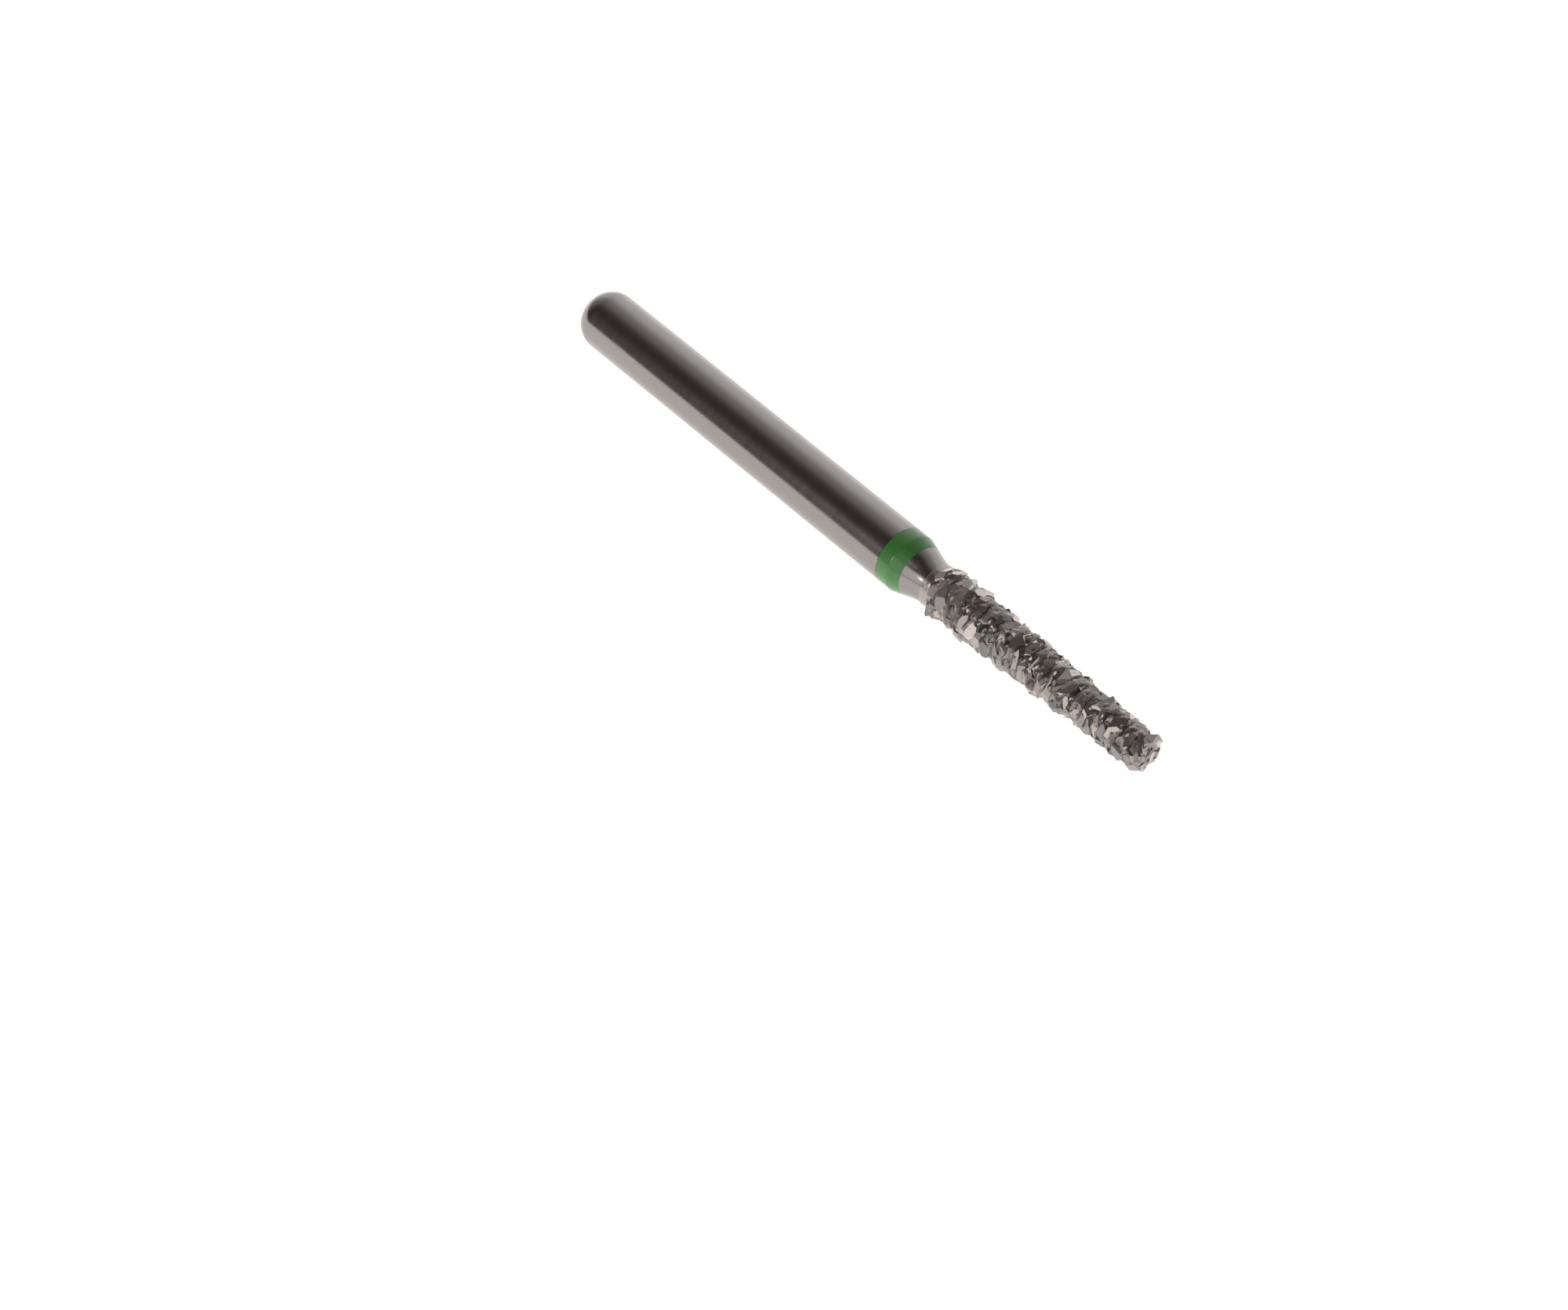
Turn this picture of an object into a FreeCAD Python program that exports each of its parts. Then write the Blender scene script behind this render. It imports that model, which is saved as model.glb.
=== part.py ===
import FreeCAD, Part
import math
import os
import random

# A friction-grip diamond bur, in millimetres.
# X runs along the bur's axis, from the rear end of the shank to the tip, and Z is up.
# The origin is the centre of the small flat on the shank's rear end.

# Blank: one piece of stainless steel, turned and centreless ground
shank_diameter = 1.60
shank_length = 12.42
shank_end_flat = 0.26
shoulder_length = 0.78
shoulder_round = 0.30
neck_length = 0.22
neck_diameter = 1.14
neck_fillet = 1.30
fillet_spare = 0.01

# Head: the tapered core that carries the diamond coat
head_length = 7.58
core_base_diameter = 1.00
core_tip_diameter = 0.57
tip_round = 0.06

# Colour band: a ring of lacquer over the shoulder's edge, flush in a shallow tapered cut
band_width = 0.75
band_past_shoulder = 0.35
groove_depth = 0.03

# Diamond coat: coarse grains, half sunk in a layer of plated nickel
bond_thickness = 0.085
grain_height = 0.15
grain_pitch = 0.34
ring_spacing = 0.20
grain_width = 0.24
grain_stretch = 1.40
lowest_grain = 0.25
lowest_end_grain = 0.75
smallest_grain = 0.60
grain_room = 0.90
grain_scatter = 0.25
fewest_in_ring = 4
facet_tilt = 0.45
facet_scatter = 0.12
grit_seed = 6

shank_radius = shank_diameter / 2
neck_radius = neck_diameter / 2
core_base_radius = core_base_diameter / 2
core_tip_radius = core_tip_diameter / 2
shoulder_end = shank_length + shoulder_length
shoulder_slope = (shank_radius - neck_radius) / shoulder_length
head_start = shoulder_end + neck_length
bur_length = head_start + head_length
coat_thickness = bond_thickness + grain_height
core_end = bur_length - coat_thickness
same_place = 1e-6
axis_point = FreeCAD.Vector(0, 0, 0)
axis = FreeCAD.Vector(1, 0, 0)
full_turn = 2 * math.pi


def turned(outline):
    """A solid of revolution about the X axis, from the (x, radius) corners of its half section."""
    corners = [FreeCAD.Vector(x, 0, radius) for x, radius in outline]
    section = Part.Face(Part.makePolygon(corners + corners[:1]))
    return section.revolve(axis_point, axis, 360)


def rounded(solid, x, radius, fillet):
    """The solid with the circular edge of that place and radius rounded off."""
    ring = [
        edge for edge in solid.Edges
        if isinstance(edge.Curve, Part.Circle)
        and edge.Curve.Center.isEqual(FreeCAD.Vector(x, 0, 0), same_place)
        and abs(edge.Curve.Radius - radius) < same_place
    ]
    return solid.makeFillet(fillet, ring)


def shank_and_neck():
    """The shank with its domed end, the sloping shoulder and the neck."""
    body = turned([
        (0, 0),
        (0, shank_radius),
        (shank_length, shank_radius),
        (shoulder_end, neck_radius),
        (head_start, neck_radius),
        (head_start, 0),
    ])
    body = rounded(body, 0, shank_radius, (shank_diameter - shank_end_flat) / 2)
    body = rounded(body, shank_length, shank_radius, shoulder_round)
    largest_fillet = (neck_length - fillet_spare) / math.tan(math.atan(shoulder_slope) / 2)
    return rounded(body, shoulder_end, neck_radius, min(neck_fillet, largest_fillet))


def head_core():
    """The tapered end of the blank, under the coat."""
    core = turned([
        (head_start, 0),
        (head_start, core_base_radius),
        (core_end, core_tip_radius),
        (core_end, 0),
    ])
    return rounded(core, core_end, core_tip_radius, tip_round)


def colour_band():
    """The lacquer ring: what the shank and shoulder have outside a straight tapered cut."""
    rear = FreeCAD.Vector(shank_length + band_past_shoulder - band_width, 0, 0)
    slice_of_bur = Part.makeCylinder(shank_diameter, band_width, rear, axis)
    rear_radius = shank_radius - groove_depth
    front_radius = rear_radius - band_past_shoulder * shoulder_slope
    groove_floor = Part.makeCone(rear_radius, front_radius, band_width, rear, axis)
    return shank_and_neck().common(slice_of_bur).cut(groove_floor)


# The head's outline, which the grains follow: the taper, the rounded corner and the flat end
taper = math.atan((core_base_radius - core_tip_radius) / (core_end - head_start))
corner_turn = math.pi / 2 - taper
corner_trim = tip_round * math.tan(corner_turn / 2)
taper_run = (core_end - head_start) / math.cos(taper) - corner_trim
corner_run = tip_round * corner_turn
end_run = core_tip_radius - corner_trim


def outline_at(run):
    """Place and outward direction on the core's outline, run mm along it from the head's start."""
    if run <= taper_run:
        x = head_start + run * math.cos(taper)
        radius = core_base_radius - run * math.sin(taper)
        return x, radius, taper
    if run <= taper_run + corner_run:
        lean = taper + (run - taper_run) / tip_round
        x = core_end - tip_round * (1 - math.sin(lean))
        return x, end_run + tip_round * math.cos(lean), lean
    return core_end, end_run - (run - taper_run - corner_run), math.pi / 2


def outwards(run, turn):
    """The direction straight out of the core, at that angle round the axis."""
    lean = outline_at(run)[2]
    level = math.cos(lean)
    return FreeCAD.Vector(math.sin(lean), -level * math.sin(turn), level * math.cos(turn))


def above_core(run, turn, height):
    """The point that stands that high over the core, at that angle round the axis."""
    x, radius, lean = outline_at(run)
    on_core = FreeCAD.Vector(x, -radius * math.sin(turn), radius * math.cos(turn))
    return on_core + outwards(run, turn) * height


def grain_rings(chance):
    """The grains' places on the head, ring after ring, each as its run and its angle."""
    whole_run = taper_run + corner_run + end_run
    ring_count = round(whole_run / ring_spacing)
    rings = []
    for number in range(ring_count):
        run = (number + 0.5) * whole_run / ring_count
        x, radius, lean = outline_at(run)
        radius += bond_thickness * math.cos(lean)
        count = round(max(fewest_in_ring, full_turn * radius / grain_pitch))
        first = chance.random()
        ring = []
        for step in range(count):
            shift = chance.uniform(-grain_scatter, grain_scatter)
            turn = (step + first + shift) * full_turn / count
            place = run + chance.uniform(-grain_scatter, grain_scatter) * ring_spacing
            ring.append((place, turn))
        rings.append(ring)
    return rings


def bridge(first, second):
    """Triangles between two closed loops, which are given by their points' rising angles."""
    def angle(loop, step):
        return loop[step % len(loop)] + full_turn * (step // len(loop))

    start = min(range(-len(second), len(second)), key=lambda step: abs(angle(second, step) - first[0]))
    a = 0
    b = start
    triangles = []
    while a < len(first) or b < start + len(second):
        on_first = (0, a % len(first))
        on_second = (1, b % len(second))
        second_done = b == start + len(second)
        if second_done or (a < len(first) and angle(first, a + 1) < angle(second, b + 1)):
            a += 1
            triangles.append((on_first, (0, a % len(first)), on_second))
        else:
            b += 1
            triangles.append((on_first, (1, b % len(second)), on_second))
    return triangles


def valley_points(rings):
    """The points of the nickel between grains, and the numbers of those round each grain."""
    points = []
    around = {(row, step): [] for row, ring in enumerate(rings) for step in range(len(ring))}
    for row in range(len(rings) - 1):
        pair = rings[row:row + 2]
        for triangle in bridge([turn for _, turn in pair[0]], [turn for _, turn in pair[1]]):
            near = pair[triangle[0][0]][triangle[0][1]][1]
            run = 0
            turn = 0
            for side, step in triangle:
                around[row + side, step].append(len(points))
                run += pair[side][step][0] / 3
                turn += math.remainder(pair[side][step][1] - near, full_turn) / 3
            points.append(above_core(run, near + turn, bond_thickness))
    rim = []
    for step, (_, turn) in enumerate(rings[0]):
        after = (step + 1) % len(rings[0])
        half_gap = ((rings[0][after][1] - turn) % full_turn) / 2
        around[0, step].append(len(points))
        around[0, after].append(len(points))
        rim.append(len(points))
        x, radius, lean = outline_at(0)
        radius += bond_thickness / math.cos(lean)
        edge = turn + half_gap
        points.append(FreeCAD.Vector(x, -radius * math.sin(edge), radius * math.cos(edge)))
    last = len(rings) - 1
    for step in range(len(rings[last])):
        around[last, step].append(len(points))
    points.append(FreeCAD.Vector(core_end + bond_thickness, 0, 0))
    return points, around, rim


def grain_facets(points, corners, run, turn, chance):
    """One grain: its flat tilted top, and the sides that run down to the valley points round it."""
    seat = above_core(run, turn, bond_thickness)
    up = outwards(run, turn)
    centre = sum((points[corner] - seat for corner in corners), FreeCAD.Vector()) / len(corners)
    centre += seat - up * centre.dot(up)
    across = FreeCAD.Vector(0, math.cos(turn), math.sin(turn))
    along = across.cross(up)

    def spot(point):
        away = point - centre
        return away.dot(across) / grain_stretch, away.dot(along)

    def bearing(point):
        wide, long = spot(point)
        return math.atan2(long, wide)

    lowest = lowest_grain if run < taper_run else lowest_end_grain
    top_height = grain_height * chance.uniform(lowest, 1)
    foot = sorted((points[corner] for corner in corners), key=bearing)
    spots = [spot(point) for point in foot]
    room = min(
        abs(one[0] * other[1] - one[1] * other[0]) / math.dist(one, other)
        for one, other in zip(spots, spots[1:] + spots[:1])
    )
    half_width = min(grain_width / 2 * chance.uniform(smallest_grain, 1), grain_room * room)
    tilt = chance.uniform(0, facet_tilt)
    tilt_way = chance.uniform(0, full_turn)
    drop = tilt * half_width
    side_count = chance.choice((3, 4, 4, 5))
    first = chance.uniform(0, full_turn)
    top = []
    for side in range(side_count):
        way = first + (side + chance.uniform(-facet_scatter, facet_scatter)) * full_turn / side_count
        rise = top_height - drop + tilt * half_width * math.cos(way - tilt_way)
        wide = half_width * grain_stretch * math.cos(way)
        long = half_width * math.sin(way)
        top.append(centre + across * wide + along * long + up * rise)
    top.sort(key=bearing)
    loops = (foot, top)
    facets = [top]
    for triangle in bridge([bearing(point) for point in foot], [bearing(point) for point in top]):
        facets.append([loops[side][step] for side, step in triangle])
    return facets


def diamond_coat():
    """The plated coat as one shell: grains outside, the core's own surface inside, a flat rear rim."""
    chance = random.Random(grit_seed)
    rings = grain_rings(chance)
    points, around, rim = valley_points(rings)
    faces = []
    for (row, step), corners in around.items():
        run, turn = rings[row][step]
        for facet in grain_facets(points, corners, run, turn, chance):
            faces.append(Part.Face(Part.makePolygon(facet + facet[:1])))
    core = head_core()
    core_rear = min(core.Faces, key=lambda face: face.CenterOfMass.x)
    faces += [face for face in core.Faces if not face.isSame(core_rear)]
    outer_edge = [points[corner] for corner in rim]
    rear_rim = Part.Face(Part.makePolygon(outer_edge + outer_edge[:1])).cut(core_rear)
    shell = Part.makeCompound(faces + rear_rim.Faces)
    shell.sewShape()
    return Part.makeSolid(shell)


os.makedirs("parts", exist_ok=True)
band = colour_band()
blank = shank_and_neck().cut(band).fuse(head_core()).removeSplitter()
blank.Solids[0].exportStep("parts/blank.step")
band.Solids[0].exportStep("parts/colour_band.step")
diamond_coat().exportStep("parts/diamond_coat.step")
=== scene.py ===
import bmesh
import bpy
import math
import random
from mathutils import Euler, Matrix, Vector, kdtree, noise


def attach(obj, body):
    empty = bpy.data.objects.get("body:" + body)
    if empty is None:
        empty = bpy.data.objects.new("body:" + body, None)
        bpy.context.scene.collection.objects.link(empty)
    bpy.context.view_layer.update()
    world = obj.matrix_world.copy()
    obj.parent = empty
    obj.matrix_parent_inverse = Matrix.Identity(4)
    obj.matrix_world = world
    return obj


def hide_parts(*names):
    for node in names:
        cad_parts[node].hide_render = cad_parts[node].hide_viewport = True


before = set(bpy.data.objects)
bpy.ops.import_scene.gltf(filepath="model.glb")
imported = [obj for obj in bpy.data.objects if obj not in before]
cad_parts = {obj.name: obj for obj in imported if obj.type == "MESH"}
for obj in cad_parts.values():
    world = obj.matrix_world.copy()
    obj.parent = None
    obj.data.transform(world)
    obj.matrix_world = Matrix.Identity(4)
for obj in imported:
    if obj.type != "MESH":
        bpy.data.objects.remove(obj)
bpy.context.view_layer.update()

# Viewpoint
# The bur lies level and is seen from above and in front of its tip, so it runs down to the right
# in the picture. The lens is a long one, from about 12 cm away.
mm = 0.001
picture_width = 2000
view_azimuth = math.radians(48.74)
view_elevation = math.radians(43.48)
view_distance = 125 * mm
focal_length_px = 6451
aim_right_px = -93.9
aim_up_px = -169.8
looked_at = Vector((10.5 * mm, 0, 0))

view_right = Vector((math.cos(view_azimuth), math.sin(view_azimuth), 0))
view_back = Vector((
    math.sin(view_azimuth) * math.cos(view_elevation),
    -math.cos(view_azimuth) * math.cos(view_elevation),
    math.sin(view_elevation),
))
view_up = view_back.cross(view_right)
camera = bpy.data.objects.new("camera", bpy.data.cameras.new("camera"))
bpy.context.scene.collection.objects.link(camera)
bpy.context.scene.camera = camera
camera.data.lens = focal_length_px * camera.data.sensor_width / picture_width
camera.data.clip_start = view_distance / 10
camera.data.clip_end = view_distance * 100
camera.location = looked_at + view_back * view_distance
aim = looked_at + (view_right * aim_right_px + view_up * aim_up_px) * view_distance / focal_length_px
camera.rotation_euler = (aim - camera.location).to_track_quat("-Z", "Y").to_euler()

# Blank
# One bar of stainless steel, turned to its domed end, shoulder, neck and the tapered core of the
# head, then centreless ground. A shallow tapered cut over the shoulder's edge holds the band.
shank_radius = 0.80 * mm
shank_end_flat = 0.13 * mm
shank_length = 12.42 * mm
shoulder_length = 0.78 * mm
shoulder_round = 0.30 * mm
neck_radius = 0.57 * mm
neck_length = 0.22 * mm
neck_fillet = 1.30 * mm
head_length = 7.58 * mm
core_base_radius = 0.50 * mm
core_tip_radius = 0.285 * mm
core_tip_round = 0.06 * mm
bond_thickness = 0.085 * mm
grain_height = 0.15 * mm
band_width = 0.75 * mm
band_past_shoulder = 0.35 * mm
groove_depth = 0.03 * mm
mark_spacing = 0.09 * mm
mark_length = 1.6 * mm
mark_depth = 0.0007 * mm
smoothest_steel = 0.15
roughest_steel = 0.25
round_steps = 192
round_segments = 16
same_place = 0.0001 * mm
sharp_edge = math.radians(35)


def linear(colour):
    """The linear colour of an sRGB hex value."""
    levels = [int(colour[place:place + 2], 16) / 255 for place in (1, 3, 5)]
    return [level / 12.92 if level < 0.04045 else ((level + 0.055) / 1.055) ** 2.4 for level in levels] + [1]


def add_node(tree, kind, settings=None, links=None):
    """Adds a node to a tree, sets its properties or input values, and links its inputs."""
    node = tree.nodes.new(kind)
    for name, value in (settings or {}).items():
        if hasattr(node, name):
            setattr(node, name, value)
        else:
            node.inputs[name].default_value = value
    for name, source in (links or {}).items():
        tree.links.new(source, node.inputs[name])
    return node


def new_material(name, settings):
    """A material of one Principled shader with the given input values."""
    material = bpy.data.materials.new(name)
    material.use_nodes = True
    shader = material.node_tree.nodes["Principled BSDF"]
    for socket, value in settings.items():
        shader.inputs[socket].default_value = value
    return material


def new_piece(name, bm, material, smooth=True):
    """Makes an object of a finished mesh, with its faces turned outwards."""
    bmesh.ops.recalc_face_normals(bm, faces=bm.faces)
    mesh = bpy.data.meshes.new(name)
    for face in bm.faces:
        face.smooth = smooth
    bm.to_mesh(mesh)
    bm.free()
    mesh.set_sharp_from_angle(angle=sharp_edge)
    mesh.materials.append(material)
    piece = bpy.data.objects.new(name, mesh)
    bpy.context.scene.collection.objects.link(piece)
    return piece


def outline(bm, corners, closed=False):
    """Draws a half section. Each corner is x, radius and the radius that it is rounded to."""
    points = [bm.verts.new((x, 0, radius)) for x, radius, _ in corners]
    ends = points[1:] + (points[:1] if closed else [])
    for first, second in zip(points, ends):
        bm.edges.new((first, second))
    for point, (_, _, fillet) in zip(points, corners):
        if fillet:
            arms = [edge.other_vert(point).co - point.co for edge in point.link_edges]
            half_turn = (math.pi - arms[0].angle(arms[1])) / 2
            bmesh.ops.bevel(
                bm, geom=[point], affect="VERTICES", offset=fillet * math.tan(half_turn),
                offset_type="OFFSET", segments=round_segments, profile=0.5, material=-1,
            )


def turn(bm, steps):
    """Turns a half section about the X axis and closes it."""
    bmesh.ops.spin(
        bm, geom=bm.verts[:] + bm.edges[:], axis=(1, 0, 0), cent=(0, 0, 0),
        angle=2 * math.pi, steps=steps, use_merge=True,
    )
    bmesh.ops.remove_doubles(bm, verts=bm.verts, dist=same_place)


head_start = shank_length + shoulder_length + neck_length
bur_length = head_start + head_length
core_end = bur_length - bond_thickness - grain_height
groove_front = shank_length + band_past_shoulder
groove_rear = groove_front - band_width
shoulder_slope = (shank_radius - neck_radius) / shoulder_length
radius_at_groove_front = shank_radius - band_past_shoulder * shoulder_slope

# Stainless steel, centreless ground: fine marks run round it, so it mirrors the room in soft bands
# along its length. The real marks are a few thousandths of a millimetre apart, too fine to show, so
# they are drawn coarser, at mark_spacing.
steel = new_material("ground_stainless_steel", {"Base Color": linear("#9E9794"), "Metallic": 1})
tree = steel.node_tree
shader = tree.nodes["Principled BSDF"]
place = add_node(tree, "ShaderNodeTexCoord")
drawn_out = (1 / mark_spacing, 1 / mark_length, 1 / mark_length)
stretched = add_node(tree, "ShaderNodeMapping", {"Scale": drawn_out}, {"Vector": place.outputs["Object"]})
marks = add_node(
    tree, "ShaderNodeTexNoise", {"Scale": 1, "Detail": 2}, {"Vector": stretched.outputs["Vector"]},
)
bump = add_node(tree, "ShaderNodeBump", {"Distance": mark_depth}, {"Height": marks.outputs["Fac"]})
tree.links.new(bump.outputs["Normal"], shader.inputs["Normal"])
gloss = add_node(
    tree, "ShaderNodeMapRange", {"To Min": smoothest_steel, "To Max": roughest_steel},
    {"Value": marks.outputs["Fac"]},
)
tree.links.new(gloss.outputs["Result"], shader.inputs["Roughness"])

bm = bmesh.new()
outline(bm, [
    (0, 0, 0),
    (0, shank_radius, shank_radius - shank_end_flat),
    (groove_rear, shank_radius, 0),
    (groove_rear, shank_radius - groove_depth, 0),
    (groove_front, radius_at_groove_front - groove_depth, 0),
    (groove_front, radius_at_groove_front, 0),
    (shank_length + shoulder_length, neck_radius, neck_fillet),
    (head_start, neck_radius, 0),
    (head_start, core_base_radius, 0),
    (core_end, core_tip_radius, core_tip_round),
    (core_end, 0, 0),
])
turn(bm, round_steps)
blank = new_piece("turned_blank", bm, steel)
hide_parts("blank")
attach(blank, "root")

# Colour band
# A ring of green lacquer that marks the grit's coarseness. It fills its cut flush with the
# shank, wraps the shoulder's edge, and was laid on wet, so its rims are a little rounded.
band_rim_round = 0.012 * mm

# Stoving lacquer, rolled on and baked: it flows out smooth, so an even, deep green lies under a
# faint gloss.
lacquer = new_material(
    "green_lacquer", {"Base Color": linear("#458C3A"), "Roughness": 0.35, "Coat Weight": 0.6},
)
bm = bmesh.new()
outline(bm, [
    (groove_rear, shank_radius, band_rim_round),
    (shank_length, shank_radius, shoulder_round),
    (groove_front, radius_at_groove_front, band_rim_round),
    (groove_front, radius_at_groove_front - groove_depth, 0),
    (groove_rear, shank_radius - groove_depth, 0),
], closed=True)
turn(bm, round_steps)
band = new_piece("lacquer_band", bm, lacquer)
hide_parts("colour_band")
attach(band, "root")

# Diamond grains
# Coarse crushed diamond, blocky and sharp, one layer thick. The large grains touch one another,
# and small chips fill the gaps between them. Each is held by the nickel round its foot. The grit
# begins a little ahead of the neck, on an edge that lies askew, and ends flush at the tip.
grain_pitch = 0.34 * mm
ring_spacing = 0.20 * mm
grain_scatter = 0.25
fewest_in_ring = 4
grains_round_end = 10
grit_seed = 6
crystal_kinds = 24
nearest_cut = 0.36
furthest_cut = 0.56
cut_scatter = 0.45
smallest_crystal = 1.0
largest_crystal = 1.35
lowest_top = 0.4
highest_top = 1.08
lowest_end_top = 0.9
highest_end_top = 1.2
end_gap = 0.01 * mm
stretch_across = 1.4
stretch_along = 0.8
lie_scatter = 0.3
bare_run = 0.16 * mm
bare_slant = 0.08 * mm
bare_way = math.radians(80)
chips_per_grain = 1
nearest_chip = 0.4
furthest_chip = 0.7
highest_chip = 0.3
smallest_chip = 0.3
largest_chip = 0.5
darkest_bright_tone = 0.4
all_bright_tone = 0.6
full_turn = 2 * math.pi
taper = math.atan((core_base_radius - core_tip_radius) / (core_end - head_start))
corner_turn = math.pi / 2 - taper
corner_trim = core_tip_round * math.tan(corner_turn / 2)
taper_run = (core_end - head_start) / math.cos(taper) - corner_trim
corner_run = core_tip_round * corner_turn
end_run = core_tip_radius - corner_trim
whole_run = taper_run + corner_run + end_run


def core_outline(run):
    """X, radius and outward lean of the head's core, at that run along its outline."""
    if run <= taper_run:
        return head_start + run * math.cos(taper), core_base_radius - run * math.sin(taper), taper
    if run <= taper_run + corner_run:
        lean = taper + (run - taper_run) / core_tip_round
        x = core_end - core_tip_round * (1 - math.sin(lean))
        return x, end_run + core_tip_round * math.cos(lean), lean
    return core_end, end_run - (run - taper_run - corner_run), math.pi / 2


def over_core(run, angle, height):
    """The point that high over the core, and the directions across the bur, along it and outwards."""
    x, radius, lean = core_outline(run)
    out = Vector((math.sin(lean), -math.cos(lean) * math.sin(angle), math.cos(lean) * math.cos(angle)))
    across = Vector((0, math.cos(angle), math.sin(angle)))
    place = Vector((x, -radius * math.sin(angle), radius * math.cos(angle))) + out * height
    return place, Matrix((across, across.cross(out), out)).transposed()


def grit_edge(angle):
    """Where the grit begins, as a run from the head's start: its edge lies a little askew."""
    return bare_run + bare_slant * math.cos(angle - bare_way)


def grain_places(chance):
    """The large grains' places in rings along the head, each as its run and its angle."""
    ring_count = round(whole_run / ring_spacing)
    places = []
    for number in range(ring_count):
        run = (number + 0.5) * whole_run / ring_count
        x, radius, lean = core_outline(run)
        girth = full_turn * (radius + bond_thickness * math.cos(lean))
        count = max(fewest_in_ring, round(girth / grain_pitch))
        first = chance.random()
        for step in range(count):
            angle = (step + first + chance.uniform(-grain_scatter, grain_scatter)) * full_turn / count
            places.append((run + chance.uniform(-grain_scatter, grain_scatter) * ring_spacing, angle))
    for step in range(grains_round_end):
        angle = (step + chance.uniform(-grain_scatter, grain_scatter)) * full_turn / grains_round_end
        places.append((taper_run + corner_run / 2, angle))
    return places


def crushed_crystal(chance):
    """A blocky crystal of unit size: a cube with each of its eight corners broken off askew."""
    bm = bmesh.new()
    bmesh.ops.create_cube(bm, size=1)
    for corner in [vert.co.copy() for vert in bm.verts]:
        askew = Vector([chance.gauss(0, cut_scatter) for _ in range(3)])
        way = (corner * 2 + askew).normalized()
        bmesh.ops.bisect_plane(
            bm, geom=bm.verts[:] + bm.edges[:] + bm.faces[:],
            plane_co=way * chance.uniform(nearest_cut, furthest_cut), plane_no=way, clear_outer=True,
        )
        bmesh.ops.holes_fill(bm, edges=bm.edges[:])
    mesh = bpy.data.meshes.new("crushed_crystal")
    bm.to_mesh(mesh)
    bm.free()
    return mesh


def set_grain(bm, crystal, run, angle, size, top, chance):
    """Adds one crystal, turned at random, its highest corner at height top and none past the end."""
    before = len(bm.verts)
    bm.from_mesh(crystal)
    bm.verts.ensure_lookup_table()
    corners = bm.verts[before:]
    turned = Euler([chance.uniform(0, full_turn) for _ in range(3)]).to_matrix()
    stretch = Matrix.Diagonal((size * stretch_across, size * stretch_along, size))
    laid = Matrix.Rotation(chance.uniform(-lie_scatter, lie_scatter), 3, "Z") @ stretch @ turned
    seat, frame_here = over_core(run, angle, 0)
    reach = max((laid @ corner.co).z for corner in corners)
    lift = Vector((0, 0, top - reach))
    for corner in corners:
        corner.co = seat + frame_here @ (laid @ corner.co + lift)
    past_end = max(max(corner.co.x for corner in corners) - (bur_length - end_gap), 0)
    bmesh.ops.translate(bm, verts=corners, vec=(-past_end, 0, 0))
    return corners


chance = random.Random(grit_seed)
places = grain_places(chance)
crystals = [crushed_crystal(chance) for _ in range(crystal_kinds)]
grains_set = []
mounds = []
for run, angle in places:
    tops = (lowest_top, highest_top) if run < taper_run else (lowest_end_top, highest_end_top)
    height = grain_height * chance.uniform(*tops)
    size = grain_pitch * chance.uniform(smallest_crystal, largest_crystal)
    run = max(run, grit_edge(angle) + size * stretch_along / 2)
    grains_set.append((run, angle, size, bond_thickness + height))
    mounds.append((*over_core(run, angle, bond_thickness), min(height, grain_height)))
    for _ in range(chips_per_grain):
        way = chance.uniform(0, full_turn)
        away = grain_pitch * chance.uniform(nearest_chip, furthest_chip)
        chip_run = min(max(run + away * math.cos(way), grit_edge(angle)), whole_run)
        radius = core_outline(chip_run)[1] + bond_thickness
        top = bond_thickness + grain_height * chance.uniform(0, highest_chip)
        size = grain_pitch * chance.uniform(smallest_chip, largest_chip)
        grains_set.append((chip_run, angle + away * math.sin(way) / radius, size, top))

bm = bmesh.new()
tone = bm.verts.layers.float.new("tone")
for run, angle, size, top in grains_set:
    shade = chance.random()
    for corner in set_grain(bm, chance.choice(crystals), run, angle, size, top, chance):
        corner[tone] = shade
for crystal in crystals:
    bpy.data.meshes.remove(crystal)

# Crushed diamond, sieved and set: its faces are flat breaks, so each one mirrors one spot of the
# room. The dark grains are bare, and the bright ones still carry a film of the plated nickel.
diamond = new_material("crushed_diamond", {"Roughness": 0.25, "IOR": 2.42})
tree = diamond.node_tree
shader = tree.nodes["Principled BSDF"]
shades = add_node(tree, "ShaderNodeAttribute", {"attribute_name": "tone"})
ramp = add_node(tree, "ShaderNodeValToRGB", links={"Fac": shades.outputs["Fac"]})
ramp.color_ramp.elements[0].color = linear("#342C29")
ramp.color_ramp.elements[1].color = linear("#D2C6BF")
tree.links.new(ramp.outputs["Color"], shader.inputs["Base Color"])
plated = add_node(
    tree, "ShaderNodeMapRange", {"From Min": darkest_bright_tone, "From Max": all_bright_tone},
    {"Value": shades.outputs["Fac"]},
)
tree.links.new(plated.outputs["Result"], shader.inputs["Metallic"])
grains = new_piece("diamond_grains", bm, diamond, smooth=False)
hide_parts("diamond_coat")
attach(grains, "root")

# Nickel bond
# Nickel plated over the core until it reaches most of the way up the grains. It stands in a
# rounded mound round each grain, with creases between. Behind the grit it is a plain collar, which
# ends in a ragged edge on the neck.
bond_step = 0.025 * mm
bond_round_steps = 160
mound_share = 0.75
mound_across = 0.34 * mm
mound_along = 0.17 * mm
mounds_near = 6
bond_grain = 0.006 * mm
bond_grain_size = 0.10 * mm
rim_reach = 0.05 * mm
rim_size = 0.12 * mm
collar_shade_level = 0.75
seam = 0.001 * mm
bond_radius = core_base_radius + bond_thickness / math.cos(taper)
bond_end = core_end + bond_thickness


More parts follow.
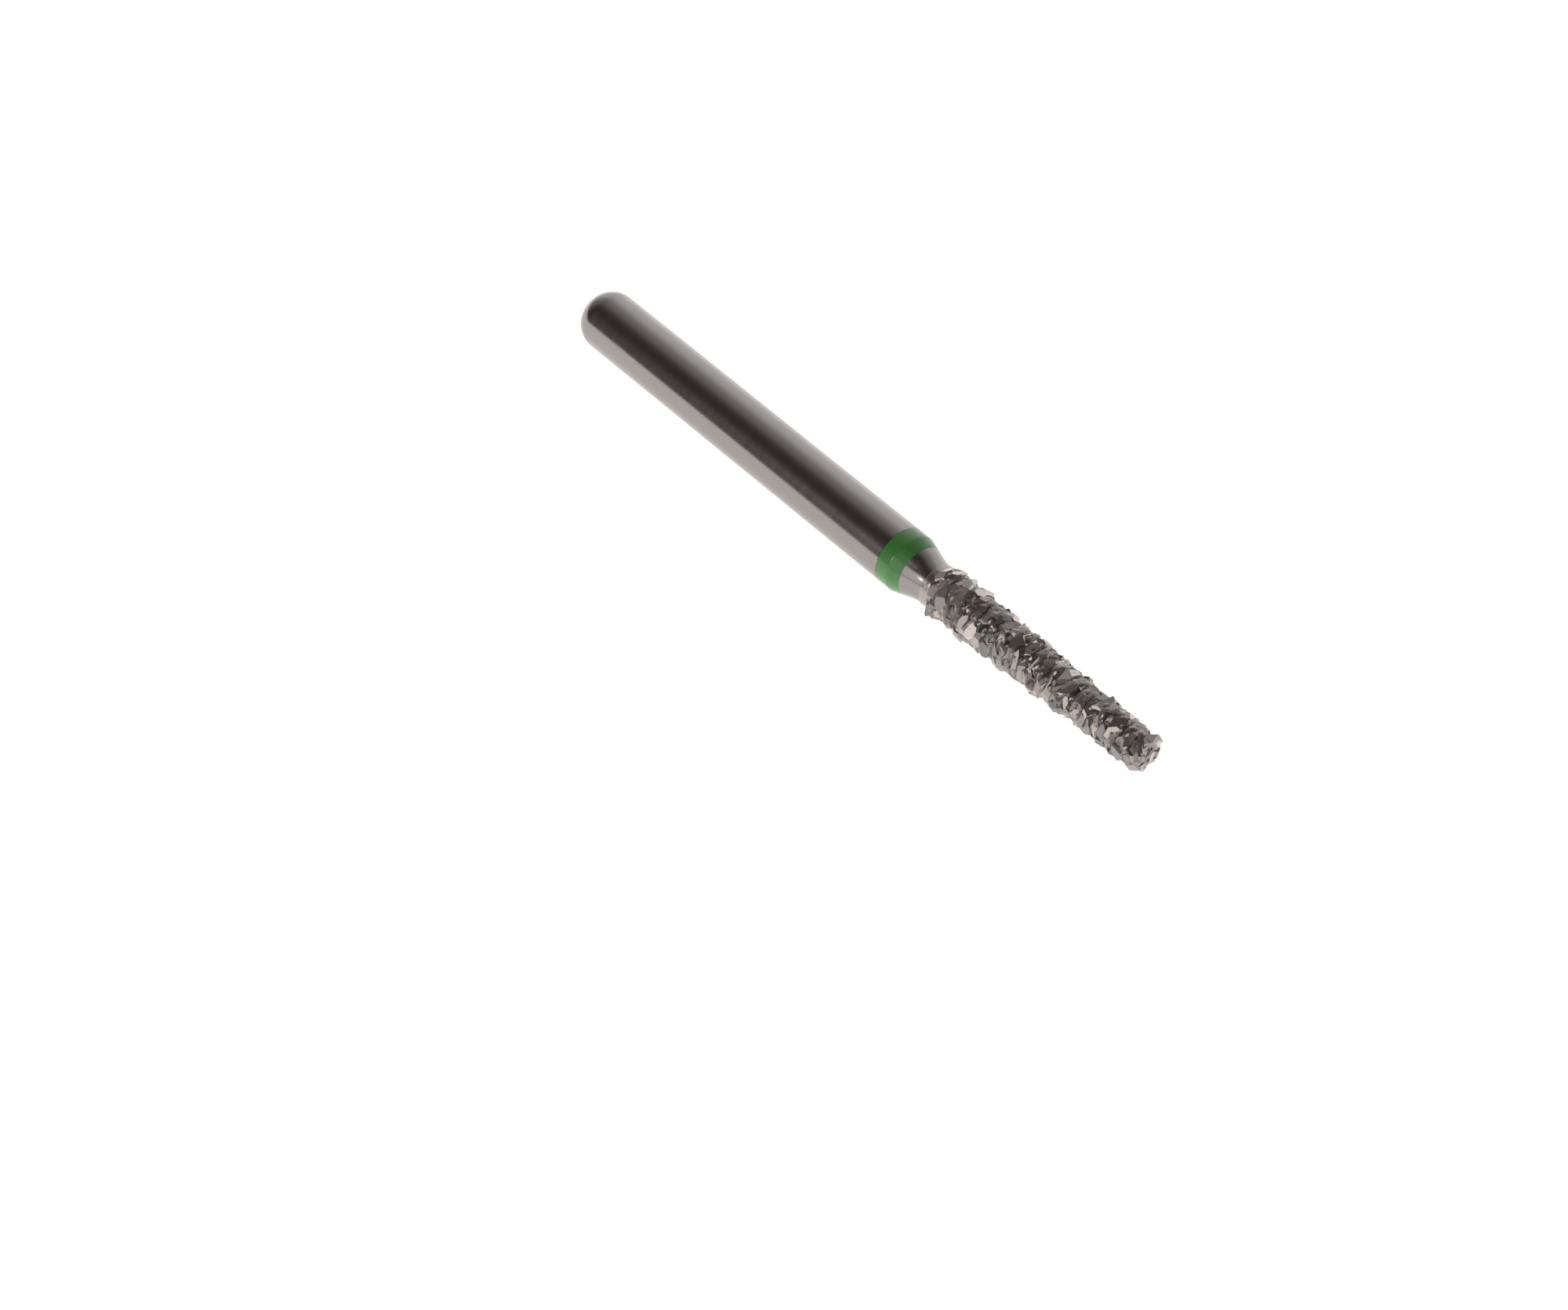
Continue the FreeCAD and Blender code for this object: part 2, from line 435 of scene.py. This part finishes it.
def on_skin(point):
    """Whether a point of the bond's shell is on its outer side."""
    core_radius = core_base_radius - (point.x - head_start) * math.tan(taper)
    return point.x > core_end + seam or math.hypot(point.y, point.z) > core_radius + bond_thickness / 2


def climb_at(point):
    """How far the nickel climbs at a point of the plain bond: the highest mound there."""
    climb = 0
    for _, number, _ in seats.find_n(point, mounds_near):
        seat, frame_here, height = mounds[number]
        aside = frame_here.transposed() @ (point - seat)
        spread = (aside.x / mound_across) ** 2 + (aside.y / mound_along) ** 2
        climb = max(climb, mound_share * height * (1 - spread))
    return climb


bm = bmesh.new()
outline(bm, [
    (core_end, 0, 0),
    (core_end, core_tip_radius, core_tip_round),
    (head_start, core_base_radius, 0),
    (head_start, neck_radius, 0),
    (head_start - rim_reach, neck_radius, 0),
    (head_start - rim_reach, bond_radius, 0),
    (bond_end, bond_radius - (bond_end - head_start) * math.tan(taper), core_tip_round + bond_thickness),
    (bond_end, 0, 0),
])
long_edges = [edge for edge in bm.edges if all(on_skin(point.co) for point in edge.verts)]
for edge in long_edges:
    bmesh.ops.subdivide_edges(bm, edges=[edge], cuts=int(edge.calc_length() / bond_step))
turn(bm, bond_round_steps)
bmesh.ops.recalc_face_normals(bm, faces=bm.faces)
bm.normal_update()
seats = kdtree.KDTree(len(mounds))
for number, (seat, _, _) in enumerate(mounds):
    seats.insert(seat, number)
seats.balance()
# Painted shade: each point's colour level is how far the nickel climbs there, so it is low and dark in the
# creases between grains. The bare collar and the bare strip before the grit get one fixed, fairly light
# level.
painted_crease_shade = bm.verts.layers.float.new("painted_crease_shade")
moves = []
for point in bm.verts:
    if point.co.x < head_start:
        point[painted_crease_shade] = collar_shade_level
        if math.hypot(point.co.y, point.co.z) > neck_radius + seam:
            moves.append((point, Vector((rim_reach * noise.noise(point.co / rim_size), 0, 0))))
    elif on_skin(point.co):
        climb = climb_at(point.co)
        rough = bond_grain * noise.noise(point.co / bond_grain_size)
        moves.append((point, point.normal * (climb + rough)))
        bare = point.co.x < head_start + grit_edge(math.atan2(-point.co.y, point.co.z))
        point[painted_crease_shade] = collar_shade_level if bare else climb / grain_height
for point, move in moves:
    point.co += move

# Plated nickel, a satin metal with a slightly warm tone. Its colour carries painted shade: light where it
# stands up on the mounds and the collar, dark in the creases, where little light gets in.
nickel = new_material("plated_nickel", {"Metallic": 1, "Roughness": 0.3})
tree = nickel.node_tree
shader = tree.nodes["Principled BSDF"]
# The ramp turns that level into painted shade, dark in the creases and light on the mounds' tops.
crease_shade_node = add_node(tree, "ShaderNodeAttribute", {"attribute_name": "painted_crease_shade"})
ramp = add_node(tree, "ShaderNodeValToRGB", links={"Fac": crease_shade_node.outputs["Fac"]})
ramp.color_ramp.elements[0].color = linear("#2E2724")
ramp.color_ramp.elements[1].color = linear("#CBC0B9")
tree.links.new(ramp.outputs["Color"], shader.inputs["Base Color"])
bond = new_piece("nickel_bond", bm, nickel)
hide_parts("diamond_coat")
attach(bond, "root")

# Floor and light
# A plain white sheet under the bur, a bright far side, and a dim room behind the camera. One soft
# box stands over the tip, and two stand before the bur's side: a wide one, and a small bright one.
floor_reach = 0.6
far_side = (-0.55, 0.83, 0)
light_distance = 0.40

# Matt white plastic, lit from below like a light table, so it looks the same white all over.
white_sheet = new_material(
    "light_table", {"Base Color": linear("#F4F4F4"), "Roughness": 0.9, "Emission Strength": 0.8},
)
bm = bmesh.new()
bmesh.ops.create_grid(bm, x_segments=1, y_segments=1, size=floor_reach)
bmesh.ops.translate(bm, verts=bm.verts, vec=(0, 0, -shank_radius))
floor = new_piece("floor", bm, white_sheet, smooth=False)

# The room's light round the bur, from the side behind the camera, 0, to the far side, 1, each as
# its place and its red, green and blue.
room_light = (
    (0.28, 0.10, 0.092, 0.088),
    (0.305, 0.17, 0.156, 0.148),
    (0.335, 0.12, 0.107, 0.102),
    (0.45, 0.075, 0.061, 0.060),
    (0.53, 0.063, 0.051, 0.050),
    (0.62, 0.11, 0.10, 0.10),
    (0.69, 0.24, 0.228, 0.228),
    (0.82, 0.43, 0.42, 0.43),
    (0.94, 0.87, 0.91, 0.96),
    (1, 1.5, 1.6, 1.67),
)
world = bpy.data.worlds.new("room")
bpy.context.scene.world = world
world.use_nodes = True
tree = world.node_tree
direction = add_node(tree, "ShaderNodeTexCoord")
aside = add_node(
    tree, "ShaderNodeVectorMath", {"operation": "DOT_PRODUCT"}, {0: direction.outputs["Generated"]},
)
aside.inputs[1].default_value = far_side
half = add_node(tree, "ShaderNodeMapRange", {"From Min": -1}, {"Value": aside.outputs["Value"]})
ramp = add_node(tree, "ShaderNodeValToRGB", links={"Fac": half.outputs["Result"]})
for place, red, green, blue in room_light:
    stop = ramp.color_ramp.elements.new(place)
    stop.color = (red, green, blue, 1)
ramp.color_ramp.elements.remove(ramp.color_ramp.elements[0])
ramp.color_ramp.elements.remove(ramp.color_ramp.elements[-1])
tree.links.new(ramp.outputs["Color"], tree.nodes["Background"].inputs["Color"])


def soft_light(name, way, width, height, watts):
    """A soft box in the given direction from the bur, turned to it, with its width level."""
    light = bpy.data.lights.new(name, "AREA")
    light.shape = "RECTANGLE"
    light.size = width
    light.size_y = height
    light.energy = watts
    lamp = bpy.data.objects.new(name, light)
    lamp.location = looked_at + Vector(way).normalized() * light_distance
    lamp.rotation_euler = (-Vector(way)).to_track_quat("-Z", "Y").to_euler()
    bpy.context.scene.collection.objects.link(lamp)


soft_light("key_light", way=(0.30, -0.545, 0.783), width=0.12, height=0.12, watts=0.2)
soft_light("front_light", way=(-0.15, -0.856, 0.351), width=0.26, height=0.275, watts=0.21)
soft_light("small_light", way=(-0.36, -0.80, 0.47), width=0.05, height=0.05, watts=0.047)
bpy.context.scene.view_settings.view_transform = "Standard"
